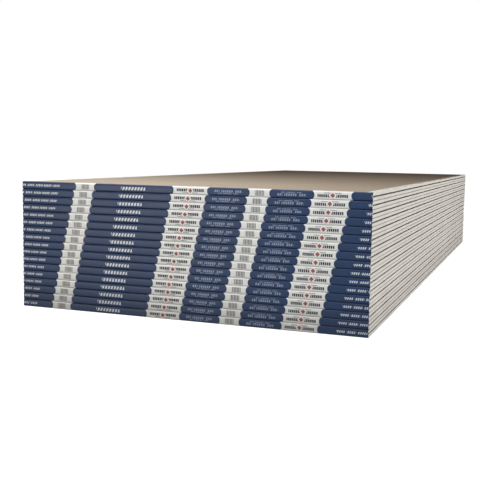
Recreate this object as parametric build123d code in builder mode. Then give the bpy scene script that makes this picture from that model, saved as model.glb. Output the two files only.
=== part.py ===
from build123d import *

import os

# A stack of drywall sheets, taped face to face in pairs by paper strips over their ends, lying flat.
# All lengths are in millimetres. X runs across the sheets, Y along them and Z up.
# The origin is under the middle of the stack, on the plane that it lies on.

# Sheet, measured across, along and through
SHEET_WIDTH = 1219.2
SHEET_LENGTH = 3048.0
SHEET_THICKNESS = 12.7

# Taper of the face along both long edges, which leaves room for jointing compound
TAPER_WIDTH = 50.0
TAPER_DEPTH = 2.0

# Roundings of the long edge where its paper turns onto the back and onto the taper
BACK_EDGE_RADIUS = 1.5
FACE_EDGE_RADIUS = 1.0

# Rounding of the sawn end where it meets the back, pressed in by the tape's fold
END_EDGE_RADIUS = 4.0

# End tape: its paper, its lap onto each back and how far it stops short of the long edges
TAPE_THICKNESS = 0.12
TAPE_LAP = 16.0
TAPE_INSET = 1.5

# The tape is not drawn tight, so its web stands off the sawn ends by this much
TAPE_SLACK = 0.6

# Pairs in the stack
PAIR_COUNT = 17

# How far a trimming profile reaches past the sheet
OVERRUN = 10.0

PAIR_HEIGHT = 2 * (SHEET_THICKNESS + TAPE_THICKNESS)
HALF_WIDTH = SHEET_WIDTH / 2
HALF_LENGTH = SHEET_LENGTH / 2

# Inside and outside of the tape's web at the near end, along Y
WEB_INSIDE = -HALF_LENGTH - TAPE_SLACK
WEB_OUTSIDE = WEB_INSIDE - TAPE_THICKNESS

os.makedirs("parts", exist_ok=True)

# One sheet, face up, with the middle of its back on the origin
with BuildPart() as sheet:
    # Section across the sheet: flat back, paper-wrapped edges and tapered face
    with BuildSketch(Plane.XZ) as cross_section:
        with BuildLine() as outline:
            Polyline(
                (-HALF_WIDTH, 0),
                (HALF_WIDTH, 0),
                (HALF_WIDTH, SHEET_THICKNESS - TAPER_DEPTH),
                (HALF_WIDTH - TAPER_WIDTH, SHEET_THICKNESS),
                (TAPER_WIDTH - HALF_WIDTH, SHEET_THICKNESS),
                (-HALF_WIDTH, SHEET_THICKNESS - TAPER_DEPTH),
                close=True,
            )
        make_face()
        corners = cross_section.vertices().group_by(Axis.Y)
        fillet(corners[0], BACK_EDGE_RADIUS)
        edge_corners = cross_section.vertices().filter_by_position(
            Axis.Y, SHEET_THICKNESS - TAPER_DEPTH, SHEET_THICKNESS - TAPER_DEPTH
        )
        fillet(edge_corners, FACE_EDGE_RADIUS)
    extrude(amount=HALF_LENGTH, both=True)

    # Profile along the sheet: square-sawn ends, eased where they meet the back
    with BuildSketch(Plane.YZ) as long_section:
        Rectangle(SHEET_LENGTH, SHEET_THICKNESS, align=(Align.CENTER, Align.MIN))
        fillet(long_section.vertices().group_by(Axis.Y)[0], END_EDGE_RADIUS)
    extrude(amount=HALF_WIDTH + OVERRUN, both=True, mode=Mode.INTERSECT)

# The two end tapes of one pair, with the underside of their laps at the origin's height
with BuildPart() as pair_tapes:
    # Section of the near strip: a web over the pair's end, folded onto both backs
    with BuildSketch(Plane.YZ) as folded_strip:
        with Locations((WEB_OUTSIDE, 0)):
            Rectangle(
                TAPE_LAP + TAPE_SLACK + TAPE_THICKNESS,
                PAIR_HEIGHT,
                align=(Align.MIN, Align.MIN),
            )
        with Locations((WEB_INSIDE, TAPE_THICKNESS)):
            Rectangle(
                TAPE_LAP + TAPE_SLACK,
                2 * SHEET_THICKNESS,
                align=(Align.MIN, Align.MIN),
                mode=Mode.SUBTRACT,
            )
        outer_folds = folded_strip.vertices().group_by(Axis.X)[0]
        fillet(outer_folds, END_EDGE_RADIUS + TAPE_THICKNESS)
        inner_folds = folded_strip.vertices().filter_by_position(Axis.X, WEB_INSIDE, WEB_INSIDE)
        fillet(inner_folds, END_EDGE_RADIUS)
    extrude(amount=HALF_WIDTH - TAPE_INSET, both=True)
    mirror(about=Plane.XZ)

# The stack, from the lowest pair up
for pair in range(PAIR_COUNT):
    pair_base = pair * PAIR_HEIGHT
    lower_back = pair_base + TAPE_THICKNESS
    upper_back = pair_base + PAIR_HEIGHT - TAPE_THICKNESS

    # The lower sheet of the pair, face up
    with BuildPart() as lower_sheet:
        with Locations((0, 0, lower_back)):
            add(sheet.part)
    lower_sheet.part.label = f"sheet_{2 * pair + 1:02d}"
    export_step(lower_sheet.part, f"parts/{lower_sheet.part.label}.step")

    # The upper sheet, turned over about its length to lie face down on the lower one
    with BuildPart() as upper_sheet:
        with Locations(Location((0, 0, upper_back), (0, 180, 0))):
            add(sheet.part)
    upper_sheet.part.label = f"sheet_{2 * pair + 2:02d}"
    export_step(upper_sheet.part, f"parts/{upper_sheet.part.label}.step")

    # The printed strips over both ends of the pair
    with BuildPart() as end_tapes:
        with Locations((0, 0, pair_base)):
            add(pair_tapes.part)
    end_tapes.part.label = f"end_tapes_{pair + 1:02d}"
    export_step(end_tapes.part, f"parts/{end_tapes.part.label}.step")
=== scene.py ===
import math

import bpy
from mathutils import Matrix, Vector


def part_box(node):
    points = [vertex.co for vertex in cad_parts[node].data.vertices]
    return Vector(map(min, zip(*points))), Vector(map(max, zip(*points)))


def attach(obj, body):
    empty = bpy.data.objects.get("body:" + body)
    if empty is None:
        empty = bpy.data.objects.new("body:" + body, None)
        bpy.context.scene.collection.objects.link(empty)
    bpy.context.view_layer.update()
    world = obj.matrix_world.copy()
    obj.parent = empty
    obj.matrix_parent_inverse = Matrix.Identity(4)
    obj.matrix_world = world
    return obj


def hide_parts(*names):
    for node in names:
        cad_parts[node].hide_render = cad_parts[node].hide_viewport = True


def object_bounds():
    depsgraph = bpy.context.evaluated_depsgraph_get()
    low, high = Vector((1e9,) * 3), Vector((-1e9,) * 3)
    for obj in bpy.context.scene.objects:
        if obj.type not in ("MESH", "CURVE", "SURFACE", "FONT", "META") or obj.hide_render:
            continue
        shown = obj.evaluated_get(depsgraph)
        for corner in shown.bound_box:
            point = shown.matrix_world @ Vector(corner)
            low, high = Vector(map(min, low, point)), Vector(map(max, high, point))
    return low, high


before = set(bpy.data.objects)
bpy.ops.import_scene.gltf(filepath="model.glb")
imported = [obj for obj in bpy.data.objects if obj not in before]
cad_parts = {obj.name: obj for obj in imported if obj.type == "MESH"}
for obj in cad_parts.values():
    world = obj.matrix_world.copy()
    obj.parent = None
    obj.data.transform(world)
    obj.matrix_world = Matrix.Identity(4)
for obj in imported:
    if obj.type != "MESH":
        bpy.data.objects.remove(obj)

# A stack of drywall sheets, taped face to face in pairs by printed paper strips over their ends.
# All lengths are in metres. X runs across the sheets, Y along them and Z up.
MM = 0.001
cad_low, cad_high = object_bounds()

# Sizes of the sheets and tapes, read from the frame
SHEETS = sorted(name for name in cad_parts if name.startswith("sheet_"))
TAPES = sorted(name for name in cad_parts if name.startswith("end_tapes_"))
sheet_low, sheet_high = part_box(SHEETS[0])
tape_low, tape_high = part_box(TAPES[0])
HALF_WIDTH = sheet_high.x
HALF_LENGTH = sheet_high.y
SHEET_THICKNESS = sheet_high.z - sheet_low.z
TAPE_THICKNESS = sheet_low.z - tape_low.z
TAPE_REACH = tape_high.x
WEB_OUTSIDE = tape_high.y
PAIR_HEIGHT = tape_high.z - tape_low.z
HALF_PAIR = PAIR_HEIGHT / 2

# Section of a sheet: face tapered along the long edges, paper turned round them, back end eased
TAPER_WIDTH = 50.0 * MM
TAPER_DEPTH = 2.0 * MM
BACK_EDGE_RADIUS = 1.5 * MM
FACE_EDGE_RADIUS = 1.0 * MM
END_EDGE_RADIUS = 4.0 * MM

# How finely a sheet is divided: points round a turned edge, steps through an easing, rings in all
EDGE_ARC_POINTS = 4
EASING_STEPS = 4
SHEET_RINGS = 69

# How far a long edge may lie inside its true line, for a whole sheet and along it
SHEET_SHIFT = 0.8 * MM
EDGE_WAVE = 0.5 * MM
EDGE_WAVE_LENGTH = 260.0 * MM

# What sets the waves of one sheet apart from the next, and of its two edges, in wave lengths
SHEET_WAVE_STEP = 17.3
SIDE_WAVE_STEP = 5.1

# Number of the draw of a sheet's tint, which no draw for its edges has
TINT_DRAW = 7

# A face is flat where its normal lies along an axis to at least this share
FLAT_SHARE = 0.999

# Tape: its lap onto the backs, and the pillow and ripple of its web, which has slack to move inwards. The
# ripples lie closer together up the web than along it.
TAPE_LAP = 16.0 * MM
WEB_PILLOW = 0.5 * MM
WEB_RIPPLE = 0.3 * MM
RIPPLE_LENGTH = 70.0 * MM
RIPPLE_SQUEEZE = (1.0, 1.0, 2.5)

# How finely a tape is divided: points round a fold, rows up the web as shares of it, rings in all
FOLD_ARC_POINTS = 5
WEB_ROW_SHARES = (0.25, 0.5, 0.75)
TAPE_RINGS = 123

# Edges of the tape that turn by more than this are cut, and not folded
CUT_EDGE_TURN = math.radians(40.0)

# Print on the tape: one run that repeats along the strip
PRINT_PERIOD = 1225.0 * MM

# Ink blocks between white gaps: where each begins and ends on the run, in mm, then the rounding of
# their corners and how far they reach past the fold
INK_BLOCKS = ((34.0, 326.0), (442.0, 585.0), (649.0, 792.0), (905.0, 1191.0))
INK_CORNER_RADIUS = 15.0 * MM
INK_OVER_FOLD = 2.8 * MM
PAPER_WHITE = "#d7d7d5"
BLOCK_INK = "#1b3152"

# Painted shade in the folds: ink darker than on the web, and how far from the fold it begins
CREASE_SHADE = "#12243f"
CREASE_WIDTH = 4.0 * MM

# Rows of marks by ink, in mm: centre on the run, height over the middle, length, height, pitch of
# the dashes, their inked share, their slant and the pitch of their groups
MARK_ROWS = {
    "#c3c7cf": (
        (180.0, 0.0, 88.0, 10.0, 11.0, 0.64, 0.35, 130.0),
        (1048.0, 0.5, 166.0, 7.0, 6.4, 0.6, 0.35, 34.0),
    ),
    "#7d879e": (
        (513.5, 1.8, 92.0, 7.5, 7.0, 0.66, 0.2, 46.0),
        (513.5, -5.2, 66.0, 3.2, 5.0, 0.64, 0.2, 33.0),
        (720.5, -1.8, 92.0, 7.5, 7.0, 0.66, 0.2, 46.0),
        (720.5, 5.2, 66.0, 3.2, 5.0, 0.64, 0.2, 33.0),
    ),
    "#303237": (
        (384.0, 1.4, 94.0, 9.0, 6.4, 0.78, 0.0, 140.0),
        (384.0, -7.0, 52.0, 2.6, 4.2, 0.6, 0.0, 80.0),
        (848.5, -1.4, 94.0, 9.0, 6.4, 0.78, 0.0, 140.0),
        (848.5, 7.0, 52.0, 2.6, 4.2, 0.6, 0.0, 80.0),
    ),
    "#646463": (
        (0.0, 0.0, 30.0, 17.0, 5.0, 0.64, 0.0, 42.0),
        (617.0, 0.0, 30.0, 17.0, 5.0, 0.64, 0.0, 42.0),
        (1225.0, 0.0, 30.0, 17.0, 5.0, 0.64, 0.0, 42.0),
    ),
}

# Share of a group's pitch that its dashes fill
GROUP_SHARE = 0.86

# Lozenges: their places on the run, in mm, and the width of the lozenge and of its white ground
LOZENGE_PLACES = (384.0, 848.5)
LOZENGE_INK = "#95524b"
LOZENGE_WIDTH = 15.0 * MM
LOZENGE_GROUND = 26.0 * MM

# Where the run begins on the top pair, how far each pair below slips, and its uneven laying
PRINT_START = -362.5 * MM
PRINT_SLIP = -5.8 * MM
PRINT_UNEVEN = 1.2 * MM

# Tape paper: patches of uneven ink the size of a hand, and fibre, drawn coarser than it is to show
INK_PATCH = 90.0 * MM
TAPE_FIBRE = 2.5 * MM
TAPE_FIBRE_RELIEF = 0.1 * MM
TAPE_FIBRE_BUMP = 0.12
TAPE_DARKEST = 0.9
TAPE_PALEST = 1.06

# Finish of the tape: rough where bare, smoother where inked, uneven in patches, with a weak mirror
BARE_ROUGHNESS = 0.72
INKED_ROUGHNESS = 0.31
PATCH_ROUGHNESS = 0.12
TAPE_IOR = 1.5
TAPE_SPECULAR = 0.22

# Papers and core of the board: back paper between two tones, face paper by the sheet, sawn gypsum
KRAFT_DARK = "#a69583"
KRAFT_LIGHT = "#b5a594"
IVORY_DARK = "#dfd9cf"
IVORY_LIGHT = "#e7e2d9"
SAWN_GYPSUM = "#d3d1cb"

# Face paper folded onto the back along the long edges, and how its cut edge wanders
PAPER_MARGIN = 21.0 * MM
MARGIN_WANDER = 2.0 * MM
MARGIN_WANDER_LENGTH = 45.0 * MM

# How close to the plane of the back, and of a sawn end, a point counts as lying on it
ON_BACK = 0.3 * MM
ON_END = 0.02 * MM

# Fibre of the papers, drawn out along the sheet and coarser than it is to show, clouds, and flecks that
# fade from their core to their edge, given as shares of their pitch
BOARD_FIBRE = 4.0 * MM
FIBRE_DRAWN_OUT = (1.0, 0.06, 1.0)
BOARD_FIBRE_RELIEF = 0.15 * MM
BOARD_FIBRE_BUMP = 0.15
CLOUD_SIZE = 160.0 * MM
FLECK_PITCH = 9.0 * MM
FLECK_CORE_SHARE = 0.08
FLECK_EDGE_SHARE = 0.16
FLECK_DARKEST = 0.86
BOARD_DARKEST = 0.93
BOARD_PALEST = 1.05

# Finish of the board: matt all over, with no mirror
BOARD_SMOOTHEST = 0.8
BOARD_ROUGHEST = 0.92
BOARD_IOR = 1.45
BOARD_SPECULAR = 0.0

# Painted shade along the long edges, in the joints between pairs and in the mouth of each pair's gap: how far
# it reaches, and the share that it darkens. None lies this near to the top of the stack.
JOINT_DEPTH = 2.0 * MM
JOINT_SHADE = 0.55
GAP_MOUTH = 8.0 * MM
GAP_SHADE = 0.38
SHADE_FREE_TOP = 4.0 * MM

# Painted shade at the foot of the stack, just over the floor: how far up it reaches, and the share of colour
# that it leaves
FOOT_SHADE_HEIGHT = 120.0 * MM
FOOT_SHADE_TAPE_SHARE = 0.68
FOOT_SHADE_BOARD_SHARE = 0.82

# Limits that one noise, and the sum of two, nearly always keep to
ONE_NOISE = {"From Min": 0.3, "From Max": 0.7}
TWO_NOISES = {"From Min": 0.6, "From Max": 1.4}

# Sockets whose names occur twice on their node, by number: the limits and result of a random draw, and
# the two colours and result of a mix
DRAW_LOWEST = 2
DRAW_HIGHEST = 3
DRAWN = 1
MIX_UNDER = 6
MIX_OVER = 7
MIXED = 2

# Camera: place, heading, tilt down and roll that the view of the near end and right side gives, the side
# of the image and the focal length in pixels, and the width of the sensor in mm
CAMERA_PLACE = Vector((1070.27, -3899.91, 540.66)) * MM
CAMERA_YAW = math.radians(-20.238)
CAMERA_PITCH = math.radians(-6.0105)
CAMERA_ROLL = math.radians(1.0)
IMAGE_SIDE = 480
FOCAL_PIXELS = 813.375
SENSOR_WIDTH = 36.0

# Surround and floor: the light that the surround gives by itself, the floor's grey in the light that it
# throws back and in what is seen of it, and its own white, weaker near the stack to keep a shadow there
WHITE = "#ffffff"
FILL_LIGHT = 0.04
FLOOR_THROWN_BACK = "#585858"
FLOOR_SEEN = "#8c8c8c"
FLOOR_NEAR = 2.0
FLOOR_FAR = 6.0
FLOOR_NEAR_WHITE = 0.95
FLOOR_REACH = 30.0
FLOOR_DROP = 0.5 * MM

# Soft lamps: place, the point that each faces, width, height, power in watts and colour. They stand
# over the near end, in front, low as a glow, along the right side, and as strips to the left and behind.
LAMPS = {
    "overhead_softbox": ((-0.2, -2.4, 1.9), (-0.1, -1.6, 0.2), 1.0, 1.0, 23.0, "#f4faff"),
    "near_softbox": ((-0.6, -1.4, 1.72), (-0.6, -1.2, 0.0), 0.8, 0.8, 11.0, "#cbe7ff"),
    "ceiling_softbox": ((-1.0, -1.9, 2.9), (-0.9, -1.9, 0.0), 1.2, 1.2, 36.0, "#ffeacb"),
    "front_softbox": ((1.7, -4.4, 1.4), (0.05, -1.5, 0.3), 1.2, 1.0, 61.0, "#f2f8ff"),
    "glow_softbox": ((-2.3, -5.6, 0.2), (-0.1, -1.5, 0.25), 1.2, 0.4, 52.0, "#ffeacb"),
    "side_softbox": ((5.6, 0.2, 0.42), (0.6, 0.2, 0.25), 4.5, 0.5, 213.0, WHITE),
    "left_softbox": ((-4.2, 0.4, 0.28), (-0.6, 0.2, 0.2), 4.0, 0.28, 90.0, WHITE),
    "back_softbox": ((0.2, 5.6, 0.28), (0.0, 1.5, 0.2), 3.0, 0.28, 90.0, WHITE),
}


def linear(colour):
    """Turns an sRGB hex colour into linear red, green, blue and alpha."""
    parts = [int(colour[place:place + 2], 16) / 255 for place in (1, 3, 5)]
    return [c / 12.92 if c <= 0.04045 else ((c + 0.055) / 1.055) ** 2.4 for c in parts] + [1.0]


def give(tree, socket, value):
    """Links a socket to another node's output, or sets it to a plain value."""
    if isinstance(value, bpy.types.NodeSocket):
        tree.links.new(value, socket)
    else:
        socket.default_value = value


def add(tree, kind, inputs=None, **settings):
    """Adds one node with its settings, and sets or links its inputs."""
    made = tree.nodes.new(kind)
    for name, value in settings.items():
        setattr(made, name, value)
    for socket, value in (inputs or {}).items():
        give(tree, made.inputs[socket], value)
    return made


def new_shape_tree(name, sizes):
    """Starts a geometry tree with inputs for sizes, rings, a seed and a material, and returns its sockets."""
    tree = bpy.data.node_groups.new(name, "GeometryNodeTree")
    inputs = {label: "NodeSocketFloat" for label in sizes}
    inputs |= {"Rings": "NodeSocketInt", "Seed": "NodeSocketInt", "Material": "NodeSocketMaterial"}
    for label, kind in inputs.items():
        tree.interface.new_socket(label, in_out="INPUT", socket_type=kind)
    tree.interface.new_socket("Geometry", in_out="OUTPUT", socket_type="NodeSocketGeometry")
    given = tree.nodes.new("NodeGroupInput").outputs
    result = tree.nodes.new("NodeGroupOutput").inputs
    return tree, given, result


def end_shape_tree(tree, given, result, shape):
    """Ends a geometry tree: its shape is made real and gets its material."""
    realized = add(tree, "GeometryNodeRealizeInstances", {"Geometry": shape}).outputs[0]
    done = add(tree, "GeometryNodeSetMaterial", {"Geometry": realized, "Material": given["Material"]})
    tree.links.new(done.outputs[0], result["Geometry"])


def shaped_piece(tree, name, sizes):
    """Runs a geometry tree with these sizes, and keeps its result as a piece with a plain mesh."""
    piece = bpy.data.objects.new(name, bpy.data.meshes.new(name))
    bpy.context.scene.collection.objects.link(piece)
    modifier = piece.modifiers.new(tree.name, "NODES")
    modifier.node_group = tree
    for socket in tree.interface.items_tree:
        if socket.name in sizes:
            modifier[socket.identifier] = sizes[socket.name]
    depsgraph = bpy.context.evaluated_depsgraph_get()
    mesh = bpy.data.meshes.new_from_object(piece.evaluated_get(depsgraph))
    piece.modifiers.remove(modifier)
    piece.data = mesh
    return piece


def rounded_outline(tree, corners, radii, arc_points):
    """A closed curve through corners given as pairs of sockets or numbers, each rounded by its radius."""
    index = add(tree, "GeometryNodeInputIndex").outputs[0]
    place = add(tree, "GeometryNodeIndexSwitch", {"Index": index}, data_type="VECTOR")
    radius = add(tree, "GeometryNodeIndexSwitch", {"Index": index}, data_type="FLOAT")
    while len(place.index_switch_items) < len(corners):
        place.index_switch_items.new()
        radius.index_switch_items.new()
    for number, ((x, y), rounding) in enumerate(zip(corners, radii)):
        point = add(tree, "ShaderNodeCombineXYZ", {"X": x, "Y": y})
        give(tree, place.inputs[str(number)], point.outputs[0])
        give(tree, radius.inputs[str(number)], rounding)
    points = add(tree, "GeometryNodePoints", {"Count": len(corners), "Position": place.outputs[0]})
    line = add(tree, "GeometryNodePointsToCurves", {"Points": points.outputs[0]})
    ring = add(tree, "GeometryNodeSetSplineCyclic", {"Geometry": line.outputs[0], "Cyclic": True})
    rounded = add(
        tree,
        "GeometryNodeFilletCurve",
        {"Curve": ring.outputs[0], "Count": arc_points, "Radius": radius.outputs[0]},
        mode="POLY",
    )
    return rounded.outputs[0]


def sheet_shape():
    """A sheet: its section swept along Y, eased at the back of its ends, with slightly uneven edges."""
    tree, given, result = new_shape_tree("drywall_sheet", (
        "Half Width", "Half Length", "Thickness", "Taper Width", "Taper Depth", "Back Radius",
        "Face Radius", "End Radius", "Shift", "Wave", "Wave Length", "Turn", "Height",
    ))
    half = given["Half Width"]
    half_length = given["Half Length"]
    thickness = given["Thickness"]
    back_radius = given["Back Radius"]
    face_radius = given["Face Radius"]
    end_radius = given["End Radius"]
    seed = given["Seed"]

    # Section, drawn with its back at zero and its face below, because the sweep turns it over
    minus_half = add(tree, "ShaderNodeMath", {0: half, 1: -1.0}, operation="MULTIPLY").outputs[0]
    flat = add(tree, "ShaderNodeMath", {0: half, 1: given["Taper Width"]}, operation="SUBTRACT").outputs[0]
    minus_flat = add(tree, "ShaderNodeMath", {0: flat, 1: -1.0}, operation="MULTIPLY").outputs[0]
    face = add(tree, "ShaderNodeMath", {0: thickness, 1: -1.0}, operation="MULTIPLY").outputs[0]
    taper = add(tree, "ShaderNodeMath", {0: face, 1: given["Taper Depth"]}, operation="ADD").outputs[0]
    corners = (
        (minus_half, taper), (minus_flat, face), (flat, face),
        (half, taper), (half, 0.0), (minus_half, 0.0),
    )
    radii = (face_radius, 0.0, 0.0, face_radius, back_radius, back_radius)
    section = rounded_outline(tree, corners, radii, EDGE_ARC_POINTS)

    # Rings along the sheet: close together through the easing of each end, the rest evenly spaced
    index = add(tree, "GeometryNodeInputIndex").outputs[0]
    last = add(tree, "ShaderNodeMath", {0: given["Rings"], 1: 1.0}, operation="SUBTRACT").outputs[0]
    from_last = add(tree, "ShaderNodeMath", {0: last, 1: index}, operation="SUBTRACT").outputs[0]
    count = add(tree, "ShaderNodeMath", {0: index, 1: from_last}, operation="MINIMUM").outputs[0]
    in_easing = add(tree, "ShaderNodeMath", {0: count, 1: EASING_STEPS}, operation="MINIMUM").outputs[0]
    past_easing = add(tree, "ShaderNodeMath", {0: count, 1: in_easing}, operation="SUBTRACT").outputs[0]
    step_turn = math.pi / 2 / EASING_STEPS
    angle = add(tree, "ShaderNodeMath", {0: in_easing, 1: step_turn}, operation="MULTIPLY").outputs[0]
    cosine = add(tree, "ShaderNodeMath", {0: angle}, operation="COSINE").outputs[0]
    rise = add(tree, "ShaderNodeMath", {0: 1.0, 1: cosine}, operation="SUBTRACT").outputs[0]
    eased = add(tree, "ShaderNodeMath", {0: rise, 1: end_radius}, operation="MULTIPLY").outputs[0]
    middle = add(tree, "ShaderNodeMath", {0: last, 1: 0.5}, operation="MULTIPLY").outputs[0]
    even_rings = add(tree, "ShaderNodeMath", {0: middle, 1: EASING_STEPS}, operation="SUBTRACT").outputs[0]
    even_run = add(tree, "ShaderNodeMath", {0: half_length, 1: end_radius}, operation="SUBTRACT").outputs[0]
    step = add(tree, "ShaderNodeMath", {0: even_run, 1: even_rings}, operation="DIVIDE").outputs[0]
    from_end = add(tree, "ShaderNodeMath", {0: past_easing, 1: step, 2: eased}, operation="MULTIPLY_ADD")
    from_middle = add(tree, "ShaderNodeMath", {0: half_length, 1: from_end.outputs[0]}, operation="SUBTRACT")
    end_side = add(tree, "ShaderNodeMath", {0: index, 1: middle}, operation="SUBTRACT").outputs[0]
    end_side = add(tree, "ShaderNodeMath", {0: end_side}, operation="SIGN").outputs[0]
    along = add(tree, "ShaderNodeMath", {0: from_middle.outputs[0], 1: end_side}, operation="MULTIPLY")
    ring_place = add(tree, "ShaderNodeCombineXYZ", {"Y": along.outputs[0]}).outputs[0]
    path_points = add(tree, "GeometryNodePoints", {"Count": given["Rings"], "Position": ring_place})
    path = add(tree, "GeometryNodePointsToCurves", {"Points": path_points.outputs[0]}).outputs[0]
    swept = add(
        tree, "GeometryNodeCurveToMesh", {"Curve": path, "Profile Curve": section, "Fill Caps": True}
    ).outputs[0]

    # Kept for the papers: the sheet's tint, and the place on it as across, along and depth from the back
    spot = add(tree, "GeometryNodeInputPosition").outputs[0]
    placed = add(
        tree,
        "GeometryNodeStoreNamedAttribute",
        {"Geometry": swept, "Name": "sheet_place", "Value": spot},
        data_type="FLOAT_VECTOR",
    ).outputs[0]
    tint = add(
        tree,
        "FunctionNodeRandomValue",
        {DRAW_LOWEST: 0.0, DRAW_HIGHEST: 1.0, "ID": TINT_DRAW, "Seed": seed},
        data_type="FLOAT",
    ).outputs[DRAWN]
    tinted = add(
        tree, "GeometryNodeStoreNamedAttribute", {"Geometry": placed, "Name": "sheet_tint", "Value": tint}
    ).outputs[0]

    # Ease the back towards each end, fading out through the thickness
    parts = add(tree, "ShaderNodeSeparateXYZ", {0: spot}).outputs
    far = add(tree, "ShaderNodeMath", {0: parts["Y"]}, operation="ABSOLUTE").outputs[0]
    to_end = add(tree, "ShaderNodeMath", {0: half_length, 1: far}, operation="SUBTRACT").outputs[0]
    in_turn = add(tree, "ShaderNodeMath", {0: end_radius, 1: to_end}, operation="SUBTRACT").outputs[0]
    in_turn = add(tree, "ShaderNodeMath", {0: in_turn, 1: 0.0}, operation="MAXIMUM").outputs[0]
    squared = add(tree, "ShaderNodeMath", {0: in_turn, 1: 2.0}, operation="POWER").outputs[0]
    radius_squared = add(tree, "ShaderNodeMath", {0: end_radius, 1: 2.0}, operation="POWER").outputs[0]
    rest = add(tree, "ShaderNodeMath", {0: radius_squared, 1: squared}, operation="SUBTRACT").outputs[0]
    rest = add(tree, "ShaderNodeMath", {0: rest, 1: 0.0}, operation="MAXIMUM").outputs[0]
    root = add(tree, "ShaderNodeMath", {0: rest}, operation="SQRT").outputs[0]
    lift = add(tree, "ShaderNodeMath", {0: end_radius, 1: root}, operation="SUBTRACT").outputs[0]
    deep = add(tree, "ShaderNodeMath", {0: parts["Z"], 1: thickness}, operation="DIVIDE").outputs[0]
    shallow = add(tree, "ShaderNodeMath", {0: 1.0, 1: deep}, operation="SUBTRACT").outputs[0]
    raised = add(tree, "ShaderNodeMath", {0: lift, 1: shallow}, operation="MULTIPLY").outputs[0]

    # Draw each long edge in by a little, more or less along its length
    edge_side = add(tree, "ShaderNodeMath", {0: parts["X"]}, operation="SIGN").outputs[0]
    edge_shift = add(
        tree,
        "FunctionNodeRandomValue",
        {DRAW_LOWEST: 0.0, DRAW_HIGHEST: given["Shift"], "ID": edge_side, "Seed": seed},
        data_type="FLOAT",
    ).outputs[DRAWN]
    wave_along = add(
        tree, "ShaderNodeMath", {0: parts["Y"], 1: given["Wave Length"]}, operation="DIVIDE"
    ).outputs[0]
    wave_apart = add(tree, "ShaderNodeMath", {0: seed, 1: SHEET_WAVE_STEP}, operation="MULTIPLY").outputs[0]
    wave_apart = add(
        tree,
        "ShaderNodeMath",
        {0: edge_side, 1: SIDE_WAVE_STEP, 2: wave_apart},
        operation="MULTIPLY_ADD",
    ).outputs[0]
    wave_point = add(tree, "ShaderNodeCombineXYZ", {"X": wave_along, "Y": wave_apart}).outputs[0]
    wave = add(tree, "ShaderNodeTexNoise", {"Vector": wave_point, "Scale": 1.0, "Detail": 2.0}).outputs[0]
    waved = add(
        tree, "ShaderNodeMath", {0: wave, 1: given["Wave"], 2: edge_shift}, operation="MULTIPLY_ADD"
    ).outputs[0]
    wide = add(tree, "ShaderNodeMath", {0: parts["X"]}, operation="ABSOLUTE").outputs[0]
    near_edge = add(tree, "ShaderNodeMapRange", {"Value": wide, "From Min": flat, "From Max": half})
    drawn_in = waved
    for factor in (near_edge.outputs[0], edge_side, -1.0):
        drawn_in = add(tree, "ShaderNodeMath", {0: drawn_in, 1: factor}, operation="MULTIPLY").outputs[0]
    moved = add(tree, "ShaderNodeCombineXYZ", {"X": drawn_in, "Z": raised}).outputs[0]
    uneven = add(tree, "GeometryNodeSetPosition", {"Geometry": tinted, "Offset": moved}).outputs[0]

    # Flat faces stay flat, and only the turned edges are shaded smooth
    facing = add(tree, "GeometryNodeInputNormal").outputs[0]
    facing = add(tree, "ShaderNodeVectorMath", {0: facing}, operation="ABSOLUTE").outputs[0]
    facing = add(tree, "ShaderNodeSeparateXYZ", {0: facing}).outputs
    most = add(tree, "ShaderNodeMath", {0: facing["X"], 1: facing["Z"]}, operation="MAXIMUM").outputs[0]
    most = add(tree, "ShaderNodeMath", {0: most, 1: facing["Y"]}, operation="MAXIMUM").outputs[0]
    turned = add(tree, "FunctionNodeCompare", {0: most, 1: FLAT_SHARE}, operation="LESS_THAN").outputs[0]
    shaded = add(tree, "GeometryNodeSetShadeSmooth", {"Geometry": uneven, "Shade Smooth": turned}).outputs[0]

    # Turn the sheet face up or face down, and lay it at its height
    rotation = add(tree, "ShaderNodeCombineXYZ", {"Y": given["Turn"]}).outputs[0]
    height = add(tree, "ShaderNodeCombineXYZ", {"Z": given["Height"]}).outputs[0]
    laid = add(
        tree, "GeometryNodeTransform", {"Geometry": shaded, "Translation": height, "Rotation": rotation}
    ).outputs[0]
    end_shape_tree(tree, given, result, laid)
    return tree


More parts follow.
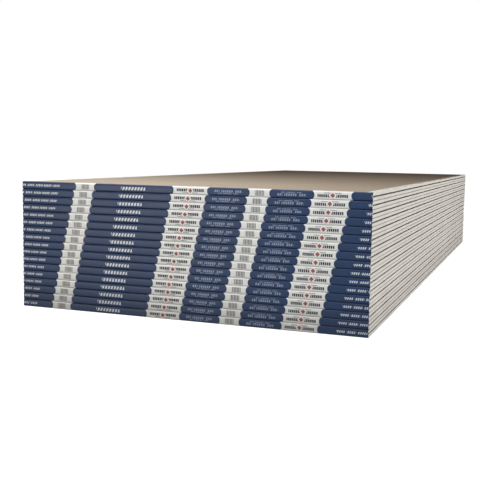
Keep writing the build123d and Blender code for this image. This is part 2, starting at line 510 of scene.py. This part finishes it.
def tape_shape():
    """The two strips of a pair: a folded section swept along X over one end, and turned to the other."""
    tree, given, result = new_shape_tree("end_tapes", (
        "Reach", "Web Outside", "Lap", "Paper", "Pair Height", "Fold Radius", "Pillow", "Ripple",
        "Ripple Length", "Base", "Print Start", "Print Uneven",
    ))
    web = given["Web Outside"]
    paper = given["Paper"]
    pair_height = given["Pair Height"]
    inner_fold = given["Fold Radius"]
    ripple_length = given["Ripple Length"]

    # Section, drawn with Y to its left and Z down, because the sweep turns it over
    inside = add(tree, "ShaderNodeMath", {0: web, 1: paper}, operation="SUBTRACT").outputs[0]
    lap_end = add(tree, "ShaderNodeMath", {0: web, 1: given["Lap"]}, operation="SUBTRACT").outputs[0]
    top = add(tree, "ShaderNodeMath", {0: pair_height, 1: -1.0}, operation="MULTIPLY").outputs[0]
    under_top = add(tree, "ShaderNodeMath", {0: top, 1: paper}, operation="ADD").outputs[0]
    over_base = add(tree, "ShaderNodeMath", {0: paper, 1: -1.0}, operation="MULTIPLY").outputs[0]
    outer_fold = add(tree, "ShaderNodeMath", {0: inner_fold, 1: paper}, operation="ADD").outputs[0]
    rows = []
    for share in WEB_ROW_SHARES:
        rows.append(add(tree, "ShaderNodeMath", {0: top, 1: share}, operation="MULTIPLY").outputs[0])
    corners = [(lap_end, top), (web, top)]
    corners += [(web, row) for row in reversed(rows)]
    corners += [(web, 0.0), (lap_end, 0.0), (lap_end, over_base), (inside, over_base)]
    corners += [(inside, row) for row in rows]
    corners += [(inside, under_top), (lap_end, under_top)]
    radii = []
    for fold in (outer_fold, inner_fold):
        radii += [0.0, fold] + [0.0 for row in rows] + [fold, 0.0]
    section = rounded_outline(tree, corners, radii, FOLD_ARC_POINTS)

    # Sweep over the near end, and turn a second strip round to the far end
    minus_reach = add(tree, "ShaderNodeMath", {0: given["Reach"], 1: -1.0}, operation="MULTIPLY").outputs[0]
    start = add(tree, "ShaderNodeCombineXYZ", {"X": minus_reach}).outputs[0]
    end = add(tree, "ShaderNodeCombineXYZ", {"X": given["Reach"]}).outputs[0]
    line = add(tree, "GeometryNodeCurvePrimitiveLine", {"Start": start, "End": end}).outputs[0]
    path = add(tree, "GeometryNodeResampleCurve", {"Curve": line, "Count": given["Rings"]}).outputs[0]
    near = add(
        tree, "GeometryNodeCurveToMesh", {"Curve": path, "Profile Curve": section, "Fill Caps": True}
    ).outputs[0]
    far = add(tree, "GeometryNodeTransform", {"Geometry": near, "Rotation": (0.0, 0.0, math.pi)}).outputs[0]
    both = add(tree, "GeometryNodeJoinGeometry")
    for strip in (near, far):
        tree.links.new(strip, both.inputs[0])

    # Place on the print: along the run, and across the strip from the middle of its web
    spot = add(tree, "GeometryNodeInputPosition").outputs[0]
    parts = add(tree, "ShaderNodeSeparateXYZ", {0: spot}).outputs
    end_side = add(tree, "ShaderNodeMath", {0: parts["Y"]}, operation="SIGN").outputs[0]
    inwards = add(tree, "ShaderNodeMath", {0: end_side, 1: -1.0}, operation="MULTIPLY").outputs[0]
    run = add(tree, "ShaderNodeMath", {0: parts["X"], 1: inwards}, operation="MULTIPLY").outputs[0]
    run = add(tree, "ShaderNodeMath", {0: run, 1: given["Print Start"]}, operation="SUBTRACT").outputs[0]
    limit = given["Print Uneven"]
    low_limit = add(tree, "ShaderNodeMath", {0: limit, 1: -1.0}, operation="MULTIPLY").outputs[0]
    laying = add(
        tree,
        "FunctionNodeRandomValue",
        {DRAW_LOWEST: low_limit, DRAW_HIGHEST: limit, "ID": end_side, "Seed": given["Seed"]},
        data_type="FLOAT",
    ).outputs[DRAWN]
    run = add(tree, "ShaderNodeMath", {0: run, 1: laying}, operation="ADD").outputs[0]
    middle = add(tree, "ShaderNodeMath", {0: pair_height, 1: 0.5}, operation="MULTIPLY").outputs[0]
    above = add(tree, "ShaderNodeMath", {0: parts["Z"], 1: middle}, operation="SUBTRACT").outputs[0]
    reach = add(tree, "ShaderNodeMath", {0: parts["Y"]}, operation="ABSOLUTE").outputs[0]
    onto_back = add(tree, "ShaderNodeMath", {0: web, 1: reach}, operation="SUBTRACT").outputs[0]
    half_sign = add(tree, "ShaderNodeMath", {0: above}, operation="SIGN").outputs[0]
    across = add(tree, "ShaderNodeMath", {0: onto_back, 1: half_sign, 2: above}, operation="MULTIPLY_ADD")
    print_place = add(tree, "ShaderNodeCombineXYZ", {"X": run, "Y": across.outputs[0]}).outputs[0]
    printed = add(
        tree,
        "GeometryNodeStoreNamedAttribute",
        {"Geometry": both.outputs[0], "Name": "print_place", "Value": print_place},
        data_type="FLOAT_VECTOR",
    ).outputs[0]

    # Ripple the web inwards, where the slack leaves room, and draw its folds in, so that it swells
    to_row = add(tree, "ShaderNodeCombineXYZ", {"Z": given["Base"]}).outputs[0]
    wave = add(tree, "ShaderNodeVectorMath", {0: spot, 1: to_row}, operation="ADD").outputs[0]
    wave = add(tree, "ShaderNodeVectorMath", {0: wave, 1: ripple_length}, operation="DIVIDE").outputs[0]
    wave = add(tree, "ShaderNodeVectorMath", {0: wave, 1: RIPPLE_SQUEEZE}, operation="MULTIPLY").outputs[0]
    noise = add(tree, "ShaderNodeTexNoise", {"Vector": wave, "Scale": 1.0, "Detail": 2.0}).outputs[0]
    distance = add(tree, "ShaderNodeMath", {0: above}, operation="ABSOLUTE").outputs[0]
    fold_start = add(tree, "ShaderNodeMath", {0: middle, 1: outer_fold}, operation="SUBTRACT").outputs[0]
    on_web = add(
        tree,
        "ShaderNodeMapRange",
        {"Value": distance, "From Min": fold_start, "From Max": middle, "To Min": 1.0, "To Max": 0.0},
    ).outputs[0]
    depth = add(tree, "ShaderNodeMath", {0: noise, 1: given["Ripple"]}, operation="MULTIPLY").outputs[0]
    depth = add(tree, "ShaderNodeMath", {0: depth, 1: on_web}, operation="MULTIPLY").outputs[0]
    bowed = add(tree, "ShaderNodeMath", {0: distance, 1: middle}, operation="DIVIDE").outputs[0]
    bowed = add(tree, "ShaderNodeMath", {0: bowed, 1: 2.0}, operation="POWER").outputs[0]
    depth = add(
        tree, "ShaderNodeMath", {0: bowed, 1: given["Pillow"], 2: depth}, operation="MULTIPLY_ADD"
    ).outputs[0]
    depth = add(tree, "ShaderNodeMath", {0: depth, 1: inwards}, operation="MULTIPLY").outputs[0]
    ripple = add(tree, "ShaderNodeCombineXYZ", {"Y": depth}).outputs[0]
    rippled = add(tree, "GeometryNodeSetPosition", {"Geometry": printed, "Offset": ripple}).outputs[0]

    # Smooth over the folds, sharp at the cut edges of the paper
    smooth = add(tree, "GeometryNodeSetShadeSmooth", {"Geometry": rippled, "Shade Smooth": True}).outputs[0]
    edge_turn = add(tree, "GeometryNodeInputMeshEdgeAngle").outputs[0]
    cut_edge = add(tree, "FunctionNodeCompare", {0: edge_turn, 1: CUT_EDGE_TURN}, operation="GREATER_THAN")
    shaded = add(
        tree,
        "GeometryNodeSetShadeSmooth",
        {"Geometry": smooth, "Selection": cut_edge.outputs[0], "Shade Smooth": False},
        domain="EDGE",
    ).outputs[0]
    laid = add(tree, "GeometryNodeTransform", {"Geometry": shaded, "Translation": to_row}).outputs[0]
    end_shape_tree(tree, given, result, laid)
    return tree


def new_material(name):
    """An empty surface material: its tree, and its shader linked to the output."""
    material = bpy.data.materials.new(name)
    material.use_nodes = True
    tree = material.node_tree
    tree.nodes.clear()
    shader = add(tree, "ShaderNodeBsdfPrincipled")
    add(tree, "ShaderNodeOutputMaterial", {"Surface": shader.outputs[0]})
    return material, tree, shader


def dash_row(tree, along, across, centre, middle, length, height, pitch, share, slant, group):
    """Mask of a row of slanted dashes in groups, its sizes in metres and its centre on the run."""
    offset = add(tree, "ShaderNodeMath", {0: along, 1: centre}, operation="SUBTRACT").outputs[0]
    off_row = add(tree, "ShaderNodeMath", {0: across, 1: middle}, operation="SUBTRACT").outputs[0]
    leaned = add(tree, "ShaderNodeMath", {0: off_row, 1: -slant, 2: offset}, operation="MULTIPLY_ADD")
    mask = 1.0
    for distance, size in ((offset, length), (off_row, height)):
        away = add(tree, "ShaderNodeMath", {0: distance}, operation="ABSOLUTE").outputs[0]
        within = add(tree, "ShaderNodeMath", {0: away, 1: size / 2}, operation="LESS_THAN").outputs[0]
        mask = add(tree, "ShaderNodeMath", {0: within, 1: mask}, operation="MULTIPLY").outputs[0]
    for step, inked_share in ((pitch, share), (group, GROUP_SHARE)):
        steps = {0: leaned.outputs[0], 1: 1 / step, 2: 0.5}
        beat = add(tree, "ShaderNodeMath", steps, operation="MULTIPLY_ADD").outputs[0]
        beat = add(tree, "ShaderNodeMath", {0: beat}, operation="FRACT").outputs[0]
        inked = add(tree, "ShaderNodeMath", {0: beat, 1: inked_share}, operation="LESS_THAN").outputs[0]
        mask = add(tree, "ShaderNodeMath", {0: inked, 1: mask}, operation="MULTIPLY").outputs[0]
    return mask


def printed_tape_paper():
    """White tape paper, printed in navy blocks. Smooth and faintly glossy where inked, duller where bare."""
    material, tree, shader = new_material("white_kraft_tape_offset_printed")
    place = add(tree, "ShaderNodeAttribute", attribute_name="print_place").outputs["Vector"]
    parts = add(tree, "ShaderNodeSeparateXYZ", {0: place}).outputs
    across = parts["Y"]
    along = add(
        tree, "ShaderNodeMath", {0: parts["X"], 1: PRINT_PERIOD}, operation="FLOORED_MODULO"
    ).outputs[0]

    # Ink blocks: distance past the nearest block's ends, then its rounded corners
    past_end = PRINT_PERIOD
    for start, end in INK_BLOCKS:
        centre = (start + end) / 2 * MM
        half_block = (end - start) / 2 * MM
        offset = add(tree, "ShaderNodeMath", {0: along, 1: centre}, operation="SUBTRACT").outputs[0]
        away = add(tree, "ShaderNodeMath", {0: offset}, operation="ABSOLUTE").outputs[0]
        past = add(tree, "ShaderNodeMath", {0: away, 1: half_block}, operation="SUBTRACT").outputs[0]
        past_end = add(tree, "ShaderNodeMath", {0: past, 1: past_end}, operation="MINIMUM").outputs[0]
    off_middle = add(tree, "ShaderNodeMath", {0: across}, operation="ABSOLUTE").outputs[0]
    to_fold = add(tree, "ShaderNodeMath", {0: off_middle, 1: HALF_PAIR}, operation="MINIMUM").outputs[0]
    half_inked = HALF_PAIR + INK_OVER_FOLD
    past_side = add(tree, "ShaderNodeMath", {0: to_fold, 1: half_inked}, operation="SUBTRACT").outputs[0]
    corner = add(tree, "ShaderNodeCombineXYZ", {"X": past_end, "Y": past_side}).outputs[0]
    radius = (INK_CORNER_RADIUS, INK_CORNER_RADIUS, 0.0)
    corner = add(tree, "ShaderNodeVectorMath", {0: corner, 1: radius}, operation="ADD").outputs[0]
    least = (0.0, 0.0, 0.0)
    corner = add(tree, "ShaderNodeVectorMath", {0: corner, 1: least}, operation="MAXIMUM").outputs[0]
    from_corner = add(tree, "ShaderNodeVectorMath", {0: corner}, operation="LENGTH").outputs["Value"]
    block = add(
        tree, "ShaderNodeMath", {0: from_corner, 1: INK_CORNER_RADIUS}, operation="LESS_THAN"
    ).outputs[0]

    # Painted shade: ink darkens towards the folds, and stays dark over them
    crease = add(
        tree,
        "ShaderNodeMapRange",
        {"Value": to_fold, "From Min": HALF_PAIR - CREASE_WIDTH, "From Max": HALF_PAIR},
    ).outputs[0]
    crease_shade = add(tree, "ShaderNodeMath", {0: block, 1: crease}, operation="MULTIPLY").outputs[0]

    # Plain marks: rows of dashes, and a lozenge in the middle of the two wider gaps
    masks = [(block, BLOCK_INK), (crease_shade, CREASE_SHADE)]
    for ink, rows in MARK_ROWS.items():
        mask = 0.0
        for centre, middle, length, height, pitch, share, slant, group in rows:
            sizes = [size * MM for size in (centre, middle, length, height, pitch)]
            row = dash_row(tree, along, across, *sizes, share, slant, group * MM)
            mask = add(tree, "ShaderNodeMath", {0: row, 1: mask}, operation="MAXIMUM").outputs[0]
        masks.append((mask, ink))
    for ink, width in ((PAPER_WHITE, LOZENGE_GROUND), (LOZENGE_INK, LOZENGE_WIDTH)):
        mask = 0.0
        for centre in LOZENGE_PLACES:
            offset = add(tree, "ShaderNodeMath", {0: along, 1: centre * MM}, operation="SUBTRACT").outputs[0]
            away = add(tree, "ShaderNodeMath", {0: offset}, operation="ABSOLUTE").outputs[0]
            reach = add(tree, "ShaderNodeMath", {0: away, 1: off_middle}, operation="ADD").outputs[0]
            inside = add(tree, "ShaderNodeMath", {0: reach, 1: width / 2}, operation="LESS_THAN").outputs[0]
            mask = add(tree, "ShaderNodeMath", {0: inside, 1: mask}, operation="MAXIMUM").outputs[0]
        masks.append((mask, ink))

    # Colours, one over the other
    colour = linear(PAPER_WHITE)
    for mask, ink in masks:
        layers = {0: mask, MIX_UNDER: colour, MIX_OVER: linear(ink)}
        colour = add(tree, "ShaderNodeMix", layers, data_type="RGBA").outputs[MIXED]

    # Uneven ink in patches, and paper fibre
    spot = add(tree, "ShaderNodeTexCoord").outputs["Object"]
    patches = add(
        tree, "ShaderNodeTexNoise", {"Vector": spot, "Scale": 1 / INK_PATCH, "Detail": 3.0}
    ).outputs[0]
    fibre = add(
        tree, "ShaderNodeTexNoise", {"Vector": spot, "Scale": 1 / TAPE_FIBRE, "Detail": 4.0}
    ).outputs[0]
    uneven = add(tree, "ShaderNodeMath", {0: patches, 1: fibre}, operation="ADD").outputs[0]
    level = add(
        tree,
        "ShaderNodeMapRange",
        {"Value": uneven, **TWO_NOISES, "To Min": TAPE_DARKEST, "To Max": TAPE_PALEST},
    ).outputs[0]

    # Painted shade on the lowest strips, just over the floor
    height = add(tree, "ShaderNodeSeparateXYZ", {0: spot}).outputs["Z"]
    foot_shade_share = add(
        tree,
        "ShaderNodeMapRange",
        {"Value": height, "From Max": FOOT_SHADE_HEIGHT, "To Min": FOOT_SHADE_TAPE_SHARE, "To Max": 1.0},
    ).outputs[0]
    for share in (level, foot_shade_share):
        colour = add(tree, "ShaderNodeVectorMath", {0: colour, "Scale": share}, operation="SCALE").outputs[0]
    tree.links.new(colour, shader.inputs["Base Color"])

    # Smoother where inked, with a slight relief from the fibre
    gloss = add(
        tree, "ShaderNodeMapRange", {"Value": block, "To Min": BARE_ROUGHNESS, "To Max": INKED_ROUGHNESS}
    ).outputs[0]
    rough = add(
        tree, "ShaderNodeMath", {0: patches, 1: PATCH_ROUGHNESS, 2: gloss}, operation="MULTIPLY_ADD"
    ).outputs[0]
    tree.links.new(rough, shader.inputs["Roughness"])
    shader.inputs["IOR"].default_value = TAPE_IOR
    shader.inputs["Specular IOR Level"].default_value = TAPE_SPECULAR
    relief = {"Height": fibre, "Strength": TAPE_FIBRE_BUMP, "Distance": TAPE_FIBRE_RELIEF}
    bump = add(tree, "ShaderNodeBump", relief)
    tree.links.new(bump.outputs[0], shader.inputs["Normal"])
    return material


def paper_faced_board():
    """Gypsum board: matt ivory face paper round the edges, grey-brown back paper, chalky sawn ends."""
    material, tree, shader = new_material("paper_faced_gypsum_board")
    place = add(tree, "ShaderNodeAttribute", attribute_name="sheet_place").outputs["Vector"]
    tint = add(tree, "ShaderNodeAttribute", attribute_name="sheet_tint").outputs["Fac"]
    parts = add(tree, "ShaderNodeSeparateXYZ", {0: place}).outputs
    spot = add(tree, "ShaderNodeTexCoord").outputs["Object"]

    # Where the back paper shows: flat back, inside the margin that the face paper covers
    wide = add(tree, "ShaderNodeMath", {0: parts["X"]}, operation="ABSOLUTE").outputs[0]
    waver = add(
        tree, "ShaderNodeTexNoise", {"Vector": spot, "Scale": 1 / MARGIN_WANDER_LENGTH, "Detail": 2.0}
    ).outputs[0]
    wandering = add(
        tree, "ShaderNodeMath", {0: waver, 1: MARGIN_WANDER, 2: wide}, operation="MULTIPLY_ADD"
    ).outputs[0]
    margin_edge = HALF_WIDTH - PAPER_MARGIN
    inner = add(tree, "ShaderNodeMath", {0: wandering, 1: margin_edge}, operation="LESS_THAN").outputs[0]
    on_back = add(tree, "ShaderNodeMath", {0: parts["Z"], 1: ON_BACK}, operation="LESS_THAN").outputs[0]
    back = add(tree, "ShaderNodeMath", {0: inner, 1: on_back}, operation="MULTIPLY").outputs[0]
    far = add(tree, "ShaderNodeMath", {0: parts["Y"]}, operation="ABSOLUTE").outputs[0]
    saw_cut = HALF_LENGTH - ON_END
    sawn = add(tree, "ShaderNodeMath", {0: far, 1: saw_cut}, operation="GREATER_THAN").outputs[0]

    # Fibre drawn out along the sheet, as the paper machine lays it, with clouds and flecks
    drawn_out = add(tree, "ShaderNodeVectorMath", {0: spot, 1: FIBRE_DRAWN_OUT}, operation="MULTIPLY")
    streaks = add(
        tree,
        "ShaderNodeTexNoise",
        {"Vector": drawn_out.outputs[0], "Scale": 1 / BOARD_FIBRE, "Detail": 4.0},
    ).outputs[0]
    clouds = add(
        tree, "ShaderNodeTexNoise", {"Vector": spot, "Scale": 1 / CLOUD_SIZE, "Detail": 3.0}
    ).outputs[0]
    flecks = add(tree, "ShaderNodeTexVoronoi", {"Vector": spot, "Scale": 1 / FLECK_PITCH}).outputs["Distance"]
    fleck_range = {"From Min": FLECK_CORE_SHARE, "From Max": FLECK_EDGE_SHARE}
    fleck = add(
        tree, "ShaderNodeMapRange", {"Value": flecks, **fleck_range, "To Min": FLECK_DARKEST, "To Max": 1.0}
    ).outputs[0]

    # Colours of the back paper, the face paper and the sawn ends
    tones = {0: streaks, MIX_UNDER: linear(KRAFT_DARK), MIX_OVER: linear(KRAFT_LIGHT)}
    kraft = add(tree, "ShaderNodeMix", tones, data_type="RGBA").outputs[MIXED]
    kraft = add(tree, "ShaderNodeVectorMath", {0: kraft, "Scale": fleck}, operation="SCALE").outputs[0]
    tones = {0: tint, MIX_UNDER: linear(IVORY_DARK), MIX_OVER: linear(IVORY_LIGHT)}
    colour = add(tree, "ShaderNodeMix", tones, data_type="RGBA").outputs[MIXED]
    for mask, over in ((back, kraft), (sawn, linear(SAWN_GYPSUM))):
        layers = {0: mask, MIX_UNDER: colour, MIX_OVER: over}
        colour = add(tree, "ShaderNodeMix", layers, data_type="RGBA").outputs[MIXED]
    uneven = add(tree, "ShaderNodeMath", {0: clouds, 1: streaks}, operation="ADD").outputs[0]
    level = add(
        tree,
        "ShaderNodeMapRange",
        {"Value": uneven, **TWO_NOISES, "To Min": BOARD_DARKEST, "To Max": BOARD_PALEST},
    ).outputs[0]

    # Painted shade in the joints between pairs, where the paper turns onto the back, but not on top of the
    # stack
    joint_shade = add(
        tree,
        "ShaderNodeMapRange",
        {"Value": parts["Z"], "From Max": JOINT_DEPTH, "To Min": JOINT_SHADE, "To Max": 0.0},
    ).outputs[0]
    height = add(tree, "ShaderNodeSeparateXYZ", {0: spot}).outputs["Z"]
    shade_top = cad_high.z - SHADE_FREE_TOP
    under_top = add(tree, "ShaderNodeMath", {0: height, 1: shade_top}, operation="LESS_THAN").outputs[0]
    turn_start = HALF_WIDTH - BACK_EDGE_RADIUS
    turned = add(tree, "ShaderNodeMath", {0: wide, 1: turn_start}, operation="GREATER_THAN").outputs[0]
    for place_mask in (under_top, turned):
        joint_shade = add(tree, "ShaderNodeMath", {0: joint_shade, 1: place_mask}, operation="MULTIPLY").outputs[0]

    # Painted shade in the mouth of the gap, on the outer part of the taper
    taper_edge = SHEET_THICKNESS - TAPER_DEPTH
    onto_taper = {"From Min": taper_edge - FACE_EDGE_RADIUS, "From Max": taper_edge}
    gap_shade = add(tree, "ShaderNodeMapRange", {"Value": parts["Z"], **onto_taper, "To Max": GAP_SHADE}).outputs[0]
    mouth_start = HALF_WIDTH - GAP_MOUTH
    mouth = add(tree, "ShaderNodeMath", {0: wide, 1: mouth_start}, operation="GREATER_THAN").outputs[0]
    gap_shade = add(tree, "ShaderNodeMath", {0: gap_shade, 1: mouth}, operation="MULTIPLY").outputs[0]
    # Both painted shades together, taken off the colour
    painted_shade = add(tree, "ShaderNodeMath", {0: joint_shade, 1: gap_shade}, operation="MAXIMUM").outputs[0]
    left_by_shade = add(tree, "ShaderNodeMath", {0: 1.0, 1: painted_shade}, operation="SUBTRACT").outputs[0]

    # Painted shade on the lowest sheets, just over the floor
    foot_shade_share = add(
        tree,
        "ShaderNodeMapRange",
        {"Value": height, "From Max": FOOT_SHADE_HEIGHT, "To Min": FOOT_SHADE_BOARD_SHARE, "To Max": 1.0},
    ).outputs[0]
    for share in (left_by_shade, foot_shade_share):
        level = add(tree, "ShaderNodeMath", {0: level, 1: share}, operation="MULTIPLY").outputs[0]
    toned = add(tree, "ShaderNodeVectorMath", {0: colour, "Scale": level}, operation="SCALE").outputs[0]
    tree.links.new(toned, shader.inputs["Base Color"])

    # Matt, with a slight relief from the fibre
    rough = add(
        tree,
        "ShaderNodeMapRange",
        {"Value": streaks, **ONE_NOISE, "To Min": BOARD_SMOOTHEST, "To Max": BOARD_ROUGHEST},
    ).outputs[0]
    tree.links.new(rough, shader.inputs["Roughness"])
    shader.inputs["IOR"].default_value = BOARD_IOR
    shader.inputs["Specular IOR Level"].default_value = BOARD_SPECULAR
    relief = {"Height": streaks, "Strength": BOARD_FIBRE_BUMP, "Distance": BOARD_FIBRE_RELIEF}
    bump = add(tree, "ShaderNodeBump", relief)
    tree.links.new(bump.outputs[0], shader.inputs["Normal"])
    return material


def lay_sheets(material):
    """Makes every sheet where its node lies: odd ones face up, even ones face down."""
    tree = sheet_shape()
    sizes = {
        "Half Width": HALF_WIDTH, "Half Length": HALF_LENGTH, "Thickness": SHEET_THICKNESS,
        "Taper Width": TAPER_WIDTH, "Taper Depth": TAPER_DEPTH, "Back Radius": BACK_EDGE_RADIUS,
        "Face Radius": FACE_EDGE_RADIUS, "End Radius": END_EDGE_RADIUS, "Shift": SHEET_SHIFT,
        "Wave": EDGE_WAVE, "Wave Length": EDGE_WAVE_LENGTH, "Rings": SHEET_RINGS, "Material": material,
    }
    for number, node in enumerate(SHEETS):
        low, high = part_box(node)
        face_down = number % 2 == 1
        sizes["Turn"] = math.pi if face_down else 0.0
        sizes["Height"] = high.z if face_down else low.z
        sizes["Seed"] = number
        piece = shaped_piece(tree, "drywall_" + node, sizes)
        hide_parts(node)
        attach(piece, "root")


def wrap_tapes(material):
    """Makes the printed strips of every pair, with the print slipping a little from pair to pair."""
    tree = tape_shape()
    sizes = {
        "Reach": TAPE_REACH, "Web Outside": WEB_OUTSIDE, "Paper": TAPE_THICKNESS,
        "Lap": TAPE_LAP + WEB_OUTSIDE - HALF_LENGTH, "Pair Height": PAIR_HEIGHT,
        "Fold Radius": END_EDGE_RADIUS, "Pillow": WEB_PILLOW, "Ripple": WEB_RIPPLE,
        "Ripple Length": RIPPLE_LENGTH, "Print Uneven": PRINT_UNEVEN, "Rings": TAPE_RINGS,
        "Material": material,
    }
    for number, node in enumerate(TAPES):
        below_top = len(TAPES) - 1 - number
        sizes["Base"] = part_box(node)[0].z
        sizes["Print Start"] = PRINT_START + below_top * PRINT_SLIP
        sizes["Seed"] = number
        piece = shaped_piece(tree, "printed_" + node, sizes)
        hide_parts(node)
        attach(piece, "root")


def softbox(name, place, target, width, height, power, colour):
    """A soft rectangular lamp that faces a point."""
    lamp = bpy.data.lights.new(name, "AREA")
    lamp.shape = "RECTANGLE"
    lamp.size = width
    lamp.size_y = height
    lamp.energy = power
    lamp.color = linear(colour)[:3]
    box = bpy.data.objects.new(name, lamp)
    bpy.context.scene.collection.objects.link(box)
    box.location = place
    box.rotation_euler = (Vector(target) - box.location).to_track_quat("-Z", "Y").to_euler()


def background_rays(tree):
    """Marks the rays that see the background: those from the camera, off gloss and through glass."""
    rays = add(tree, "ShaderNodeLightPath").outputs
    seen = rays["Is Camera Ray"]
    for kind in ("Is Glossy Ray", "Is Transmission Ray"):
        seen = add(tree, "ShaderNodeMath", {0: seen, 1: rays[kind]}, operation="MAXIMUM").outputs[0]
    return seen


def surround():
    """White surround: full white to the camera and to gloss, and a weak fill to everything else."""
    world = bpy.data.worlds.new("studio_surround")
    bpy.context.scene.world = world
    world.use_nodes = True
    tree = world.node_tree
    tree.nodes.clear()
    seen = background_rays(tree)
    fill = add(tree, "ShaderNodeBackground", {"Color": linear(WHITE), "Strength": FILL_LIGHT}).outputs[0]
    white = add(tree, "ShaderNodeBackground", {"Color": linear(WHITE), "Strength": 1.0}).outputs[0]
    shown = add(tree, "ShaderNodeMixShader", {0: seen, 1: fill, 2: white}).outputs[0]
    add(tree, "ShaderNodeOutputWorld", {"Surface": shown})


def studio_floor():
    """Pale floor, white to the camera apart from a trace of the stack's shadow."""
    material = bpy.data.materials.new("white_studio_floor")
    material.use_nodes = True
    tree = material.node_tree
    tree.nodes.clear()
    seen = background_rays(tree)
    matt = add(tree, "ShaderNodeBsdfDiffuse", {"Color": linear(FLOOR_THROWN_BACK)}).outputs[0]
    faint = add(tree, "ShaderNodeBsdfDiffuse", {"Color": linear(FLOOR_SEEN)}).outputs[0]
    spot = add(tree, "ShaderNodeTexCoord").outputs["Object"]
    away = add(tree, "ShaderNodeVectorMath", {0: spot}, operation="LENGTH").outputs["Value"]
    fading = {"From Min": FLOOR_NEAR, "From Max": FLOOR_FAR, "To Min": FLOOR_NEAR_WHITE, "To Max": 1.0}
    strength = add(tree, "ShaderNodeMapRange", {"Value": away, **fading}).outputs[0]
    glow = add(tree, "ShaderNodeEmission", {"Color": linear(WHITE), "Strength": strength}).outputs[0]
    white = add(tree, "ShaderNodeAddShader", {0: faint, 1: glow}).outputs[0]
    shown = add(tree, "ShaderNodeMixShader", {0: seen, 1: matt, 2: white}).outputs[0]
    add(tree, "ShaderNodeOutputMaterial", {"Surface": shown})

    mesh = bpy.data.meshes.new("studio_floor")
    corners = [(x * FLOOR_REACH, y * FLOOR_REACH, 0.0) for x, y in ((-1, -1), (1, -1), (1, 1), (-1, 1))]
    mesh.from_pydata(corners, [], [(0, 1, 2, 3)])
    mesh.materials.append(material)
    floor = bpy.data.objects.new("studio_floor", mesh)
    floor.location.z = cad_low.z - FLOOR_DROP
    bpy.context.scene.collection.objects.link(floor)


def view_camera():
    """The camera, turned by its heading, tilt and roll."""
    forward = Vector((
        math.sin(CAMERA_YAW) * math.cos(CAMERA_PITCH),
        math.cos(CAMERA_YAW) * math.cos(CAMERA_PITCH),
        math.sin(CAMERA_PITCH),
    ))
    level = Vector((math.cos(CAMERA_YAW), -math.sin(CAMERA_YAW), 0.0))
    upright = level.cross(forward)
    right = math.cos(CAMERA_ROLL) * level + math.sin(CAMERA_ROLL) * upright
    up = math.cos(CAMERA_ROLL) * upright - math.sin(CAMERA_ROLL) * level
    lens = bpy.data.cameras.new("camera")
    lens.sensor_width = SENSOR_WIDTH
    lens.lens = FOCAL_PIXELS / IMAGE_SIDE * SENSOR_WIDTH
    camera = bpy.data.objects.new("camera", lens)
    bpy.context.scene.collection.objects.link(camera)
    turn = Matrix((right, up, -forward)).transposed().to_4x4()
    camera.matrix_world = Matrix.Translation(CAMERA_PLACE) @ turn
    bpy.context.scene.camera = camera


lay_sheets(paper_faced_board())
wrap_tapes(printed_tape_paper())
bpy.context.scene.view_settings.view_transform = "Standard"
surround()
studio_floor()
for lamp_name, lamp_values in LAMPS.items():
    softbox(lamp_name, *lamp_values)
view_camera()
